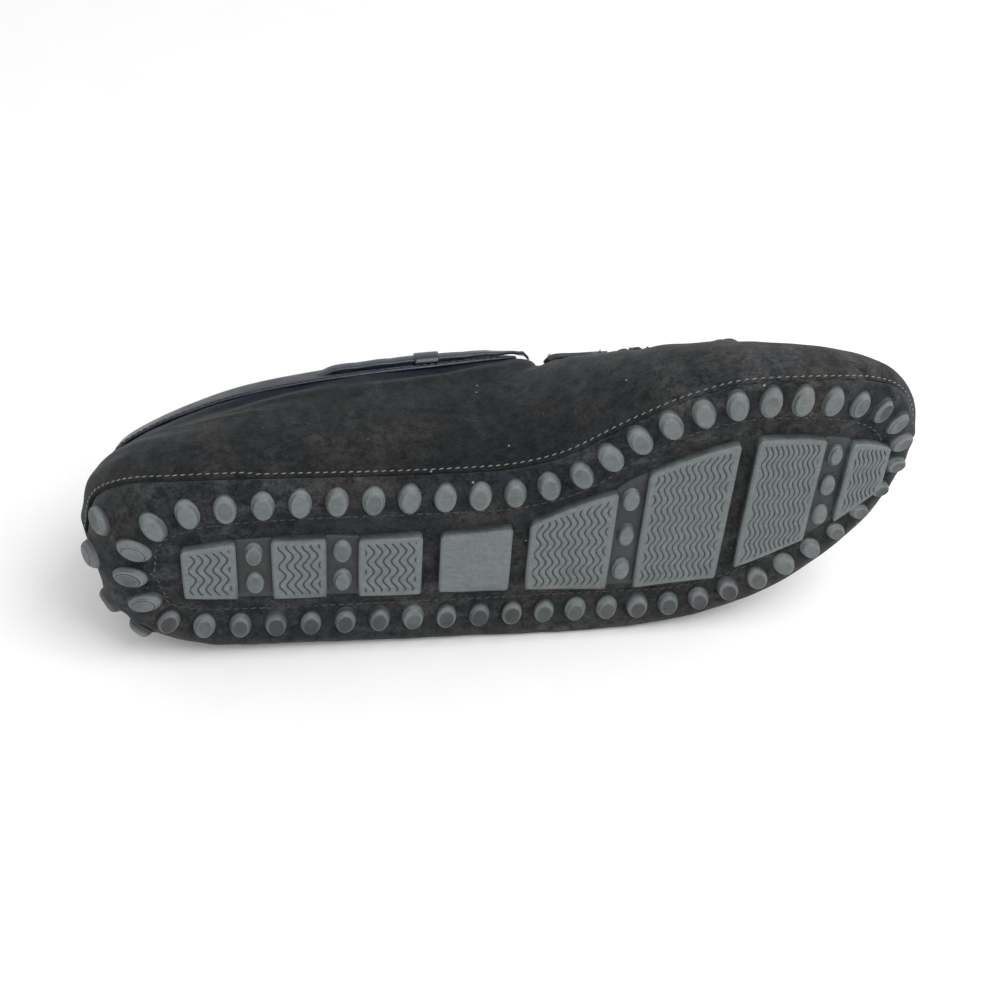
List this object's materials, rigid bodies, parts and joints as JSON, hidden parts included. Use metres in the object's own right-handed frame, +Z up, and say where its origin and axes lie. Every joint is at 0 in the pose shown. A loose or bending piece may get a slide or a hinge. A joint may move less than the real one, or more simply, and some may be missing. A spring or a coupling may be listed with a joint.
{
  "type": "driving moccasin",
  "caption": "Left slip-on driving moccasin lying on its outer side: hollow suede upper, rubber tread of studs and pads, bound collar with a lace, saddle strap, tongue and insole.",
  "frame": {"origin": "centre of the bounding box, on the floor that the shoe lies on", "axes": "+X from the heel to the toe, -Y the side that the tread faces, +Z up, from the shoe's outer side to its inner side"},
  "size_m": [0.291, 0.0844, 0.1119],
  "materials": {
    "suede": "napped, matt charcoal",
    "rubber": "grey, worn smooth",
    "collar_leather": "smooth navy, slight gloss",
    "lace_leather": "flat blue-grey leather",
    "lining": "tan, worn"
  },
  "bodies": {
    "root": {"upper": "suede", "sole_cover": "suede", "rubber_unit": "rubber", "collar_binding": "collar_leather", "collar_lace_inner": "lace_leather", "collar_lace_outer": "lace_leather", "lace_keeper_inner": "collar_leather", "lace_keeper_outer": "collar_leather", "saddle_strap": "suede", "tongue": "suede", "insole": "lining"}
  },
  "joints": []
}
